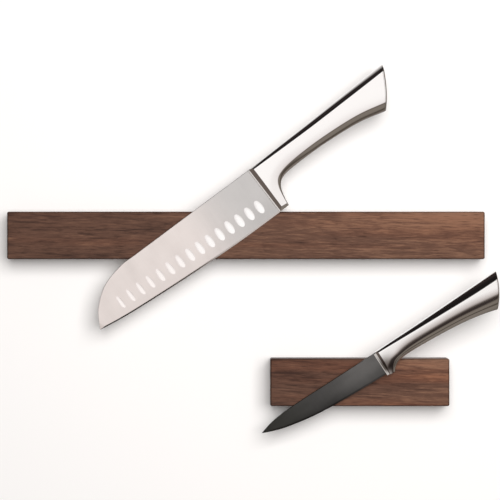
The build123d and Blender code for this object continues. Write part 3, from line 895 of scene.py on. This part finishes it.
def curveAt(points, share):
    # a smooth curve through given points, at a share of its length measured by chords
    lengths = [0.0]
    for first, second in zip(points, points[1:]):
        lengths.append(lengths[-1] + math.dist(first, second))
    want = share * lengths[-1]
    k = max(i for i in range(len(points) - 1) if lengths[i] <= want + 1e-9)
    span = lengths[k + 1] - lengths[k]
    t = (want - lengths[k]) / span

    def slopeAt(i):
        low, high = max(i - 1, 0), min(i + 1, len(points) - 1)
        return [(points[high][a] - points[low][a]) / (lengths[high] - lengths[low]) for a in (0, 1)]

    startSlope, endSlope = slopeAt(k), slopeAt(k + 1)
    x, z = (
        (2 * t**3 - 3 * t**2 + 1) * points[k][a]
        + (t**3 - 2 * t**2 + t) * span * startSlope[a]
        + (3 * t**2 - 2 * t**3) * points[k + 1][a]
        + (t**3 - t**2) * span * endSlope[a]
        for a in (0, 1)
    )
    return Vector((x, 0, z))


bladeGrid = {
    "columns": 96,
    "rows": 9,
    "spineCorner": 0.25,  # millimetres
    "keenness": 0.06,  # half the thickness that is left at the very edge
    "thinsBelow": 6,  # where the blade is less deep than this, near the tip, it's thinner too
    "flankRows": (0.25, 0.45, 0.65, 0.82),  # shares of the depth
}


def buildBlade(name, knife, finish, edgeFinish, body, nodes):
    rows, slope = bladeGrid["rows"], flankSlope(knife)
    bpy.ops.mesh.primitive_grid_add(x_subdivisions=bladeGrid["columns"], y_subdivisions=rows, size=2)
    blade = bpy.context.object
    blade.name = name
    bm = startEdit(blade)
    for face in bm.faces:  # the last two rows are the sharpened edge
        face.material_index = 1 if face.calc_center_median().y < -1 + 4 / rows else 0
    for vert in bm.verts:
        along = (1 - vert.co.x) / 2
        row = round((1 - vert.co.y) / 2 * rows)
        spine, edge = curveAt(knife["spine"], along), curveAt(knife["edge"], along)
        depth = (spine - edge).length
        down = (edge - spine).normalized() if depth > 0.01 else Vector((0, 0, -1))
        bevel = min(knife["bevelWidth"], 0.3 * depth)
        corner = min(bladeGrid["spineCorner"], 0.1 * depth)
        steps = [0, 0, corner, *(share * depth for share in bladeGrid["flankRows"]), depth - bevel]
        place = spine + down * (steps + [depth, depth])[row]
        taper = min(1.0, depth / bladeGrid["thinsBelow"])
        flank = (knife["edgeThickness"] / 2 + slope * (place.z - knife["bottom"])) * taper
        ends = {0: 0, 1: max(flank - corner, 0), rows - 1: bladeGrid["keenness"] * taper, rows: 0}
        vert.co = place + Vector((0, -ends.get(row, flank), 0))
    bmesh.update_edit_mesh(blade.data)
    stopEdit()
    applyModifier(blade, "MIRROR", use_axis=(False, True, False), merge_threshold=0.002)
    cleanMesh(blade, unit=1, closeHoles=True)  # the heel is open until here
    blade.data.materials.append(finishes[finish])
    blade.data.materials.append(finishes[edgeFinish])
    if knife["hollows"]:
        cutHollows(blade, knife, slope)
    smoothUpTo(blade, 4)
    setPlace(blade, knifePlace(knife))
    handOver(blade, body, nodes)


hollow = {
    "length": 12.0,
    "width": 6.0,
    "depth": 0.28,
    "pitch": 9.8,
    "first": (-12.0, -29.5),
    "rise": 0.53,
    "fade": 0.34,  # how much narrower and shallower the last one is
    "stretch": 0.35,  # makes up for some of the length that a shallower one loses
    "ball": 1.5,  # half the thickness of the oval that cuts it
}


def cutHollows(blade, knife, slope):
    # one oval cutter is modelled, then copied down both sides of the blade
    ball, depth = hollow["ball"], hollow["depth"]
    share = math.sqrt(1 - ((ball - depth) / ball) ** 2)
    bpy.ops.mesh.primitive_uv_sphere_add(
        segments=48, ring_count=48, radius=1, rotation=(quarterTurn, 0, 0)
    )
    first = bpy.context.object
    first.scale = (hollow["width"] / 2 / share, hollow["length"] / 2 / share, ball)
    pickOnly(first)
    applyPlace()
    first.data.materials.append(finishes["hollowPolish"])
    cutters = []
    for number in range(knife["hollows"]):
        for side in (-1, 1):
            if side == 1 and number == knife["hollows"] - 1:
                continue
            place = number if side == -1 else number + 0.5  # the rear ones lie between the front ones
            x = hollow["first"][0] - place * hollow["pitch"]
            z = hollow["first"][1] + place * hollow["rise"]
            size = 1 - hollow["fade"] * (place / knife["hollows"]) ** 2
            flank = knife["edgeThickness"] / 2 + slope * (z - knife["bottom"])
            cutter = first.copy()
            cutter.data = first.data.copy()
            cutter.scale = (size, 1, 1 + (1 - size) * hollow["stretch"])
            cutter.location = (x, side * (flank + ball - depth * size), z)
            bpy.context.scene.collection.objects.link(cutter)
            cutters.append(cutter)
    bpy.data.objects.remove(first)
    pickOnly(cutters[0])
    for cutter in cutters:
        cutter.select_set(True)
    applyPlace()
    bpy.ops.object.join()
    joined = bpy.context.object
    cut = {"operation": "DIFFERENCE", "solver": "EXACT", "material_mode": "TRANSFER"}
    applyModifier(blade, "BOOLEAN", object=joined, **cut)
    bpy.data.objects.remove(joined)


def buildKnife(name, knife, body, edgeFinish):
    handle = [f"{name}_{part}" for part in ("bolster", "handle_front_shell", "handle_rear_shell")]
    ground = f"{name}Ground"
    buildBlade(f"{name}_ground_blade", knife, ground, edgeFinish, body, [f"{name}_blade"])
    buildGrip(f"{name}_grip", knife, f"{name}Polish", body, handle)
    buildCap(f"{name}_butt_plate", knife, f"{name}Polish", body, [f"{name}_butt_cap"])
    print(name, "knife made")


buildKnife("santoku", santoku, "santoku", "santokuEdge")
buildKnife("utility", utility, "utility_knife", "utilityGround")

room = {
    "wallSize": 6.0,
    "wallBack": 0.0004,  # just clear of the rubber strips' backs
    "wallColor": (0.935, 0.915, 0.905),
    "lens": 135.0,
    "sensor": 36.0,
    "frameWidth": 0.410,  # what the frame spans in the plane of the bars' faces
    "aim": (0.00336, -0.01197),
    "slant": 37.0,  # the knives lie across the wall at about this angle
    "lampPlace": (0.36, -1.6, 0.42),
    "lampAim": (0, 0, -0.02),
    "lampSize": (1.7, 1.4),
    "lampPower": 39.8,
    "lampColor": (1.0, 0.99, 0.98),
    "matt": ((0.13, 0.128, 0.125), (0.55, 0.55, 0.55)),  # light on matt things, front and behind
    "pastWall": (0.80, 0.79, 0.78),
}
# what polished metal mirrors, by the angle away from the viewer: (angle in degrees, colour)
highLeft = [
    (0, (1.04, 1.02, 1.01)),
    (22, (1.02, 1.0, 0.99)),
    (28, (0.05, 0.045, 0.04)),
    (38, (0.012, 0.010, 0.010)),
    (69, (0.012, 0.010, 0.010)),
    (75, (0.036, 0.026, 0.026)),
    (81, (0.016, 0.012, 0.012)),
    (90, (0.020, 0.017, 0.017)),
    (97, (0.16, 0.15, 0.145)),
    (110, (0.48, 0.46, 0.45)),
    (128, (0.80, 0.79, 0.78)),
    (150, (0.98, 0.97, 0.96)),
]
lowRight = [
    (0, (1.04, 1.02, 1.01)),
    (9, (1.02, 1.0, 0.99)),
    (20, (0.84, 0.80, 0.79)),
    (30, (0.58, 0.53, 0.51)),
    (37, (0.10, 0.08, 0.07)),
    (42, (0.040, 0.031, 0.028)),
    (51, (0.036, 0.027, 0.025)),
    (56, (0.195, 0.168, 0.142)),
    (64, (0.205, 0.178, 0.152)),
    (67, (0.075, 0.062, 0.050)),
    (71, (0.065, 0.052, 0.043)),
    (75, (0.20, 0.17, 0.145)),
    (86, (0.21, 0.185, 0.16)),
    (96, (0.10, 0.085, 0.07)),
    (120, (0.30, 0.28, 0.26)),
    (150, (0.5, 0.5, 0.5)),
]
lowLeft = [
    (0, (1.04, 1.02, 1.01)),
    (12, (1.02, 1.0, 0.99)),
    (24, (0.74, 0.71, 0.69)),
    (40, (0.35, 0.32, 0.30)),
    (58, (0.145, 0.118, 0.104)),
    (90, (0.128, 0.103, 0.090)),
    (110, (0.5, 0.5, 0.5)),
]


def buildRoom():
    bpy.ops.mesh.primitive_plane_add(
        size=room["wallSize"], location=(0, room["wallBack"], 0), rotation=(quarterTurn, 0, 0)
    )
    wall = bpy.context.object
    wall.name = "wall"
    material, tree, shader, _ = newMaterial("wall_paint", Roughness=0.9, Specular_IOR_Level=0.1)
    shader.inputs["Base Color"].default_value = (*room["wallColor"], 1)
    # seen from behind, the wall lets the view and the light through
    clear = addNode(tree, "ShaderNodeBsdfTransparent")
    pickSide = addNode(tree, "ShaderNodeMixShader")
    geometry = addNode(tree, "ShaderNodeNewGeometry")
    tree.links.new(geometry.outputs["Backfacing"], pickSide.inputs[0])
    tree.links.new(shader.outputs[0], pickSide.inputs[1])
    tree.links.new(clear.outputs[0], pickSide.inputs[2])
    tree.links.new(pickSide.outputs[0], tree.nodes["Material Output"].inputs["Surface"])
    wall.data.materials.append(material)
    wall.visible_shadow = False
    wall.visible_glossy = False  # metal mirrors the studio's colours behind it instead


halfTurn = 180  # degrees, the whole of a ramp


def angleRamp(tree, value, stops):
    node = addNode(tree, "ShaderNodeValToRGB")
    ramp = node.color_ramp
    ramp.interpolation = "LINEAR"
    ramp.elements.remove(ramp.elements[1])
    ramp.elements[0].position = stops[0][0] / halfTurn
    ramp.elements[0].color = (*stops[0][1], 1)
    for angle, color in stops[1:]:
        ramp.elements.new(angle / halfTurn).color = (*color, 1)
    tree.links.new(value, node.inputs[0])
    return node.outputs[0]


def buildSky():
    # a bright studio front, dark high on the left, warm and dim low on the right, even light behind
    world = bpy.data.worlds.new("studio")
    bpy.context.scene.world = world
    world.use_nodes = True
    tree = world.node_tree
    way = splitAxes(tree, addNode(tree, "ShaderNodeTexCoord").outputs["Generated"])
    away = mathNode(tree, "ARCCOSINE", mathNode(tree, "MULTIPLY", way["Y"], -1.0))
    away = mathNode(tree, "DIVIDE", away, math.pi)
    sideways = mathNode(tree, "SINE", mathNode(tree, "MULTIPLY", away, math.pi))
    sideways = mathNode(tree, "MAXIMUM", sideways, 0.01)

    def towards(x, z):
        both = mathNode(tree, "MULTIPLY_ADD", way["Z"], z, mathNode(tree, "MULTIPLY", way["X"], x))
        return mathNode(tree, "DIVIDE", both, sideways)

    slant = math.radians(room["slant"])
    across = rampFrom(tree, towards(-math.sin(slant), math.cos(slant)), -0.35, 0.35)
    toTip = rampFrom(tree, towards(-math.cos(slant), -math.sin(slant)), 0.55, 0.85)
    seen = mixColors(tree, across, angleRamp(tree, away, lowRight), angleRamp(tree, away, highLeft))
    seen = mixColors(tree, toTip, seen, angleRamp(tree, away, lowLeft))
    # matt things get an even, weak light from it, and the view past the wall is plain and pale
    rays = addNode(tree, "ShaderNodeLightPath").outputs
    even = mixColors(tree, rampFrom(tree, way["Y"], 0.1, 0.4), *room["matt"])
    color = mixColors(tree, rays["Is Diffuse Ray"], seen, even)
    color = mixColors(tree, rays["Is Camera Ray"], color, room["pastWall"])
    tree.links.new(color, tree.nodes["Background"].inputs["Color"])


def buildLamp():
    bpy.ops.object.light_add(type="AREA", location=room["lampPlace"])
    lamp = bpy.context.object
    lamp.name = "high_right"
    lamp.data.shape = "RECTANGLE"
    lamp.data.size, lamp.data.size_y = room["lampSize"]
    lamp.data.energy = room["lampPower"]
    lamp.data.color = room["lampColor"]
    shines = Vector(room["lampAim"]) - Vector(room["lampPlace"])
    lamp.rotation_euler = shines.to_track_quat("-Z", "Y").to_euler()
    lamp.visible_glossy = False  # metal mirrors the studio instead


def buildCamera():
    bpy.ops.object.camera_add()
    camera = bpy.context.object
    camera.data.lens = room["lens"]
    camera.data.sensor_width = room["sensor"]
    distance = room["frameWidth"] * room["lens"] / room["sensor"]
    camera.location = (room["aim"][0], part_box("long_bar")[0].y - distance, room["aim"][1])
    camera.rotation_euler = (quarterTurn, 0, 0)
    camera.data.clip_start = 0.01
    bpy.context.scene.camera = camera


buildRoom()
buildSky()
buildLamp()
buildCamera()
bpy.context.scene.view_settings.view_transform = "Standard"
bpy.context.scene.view_settings.look = "None"
print("room, light and camera made")
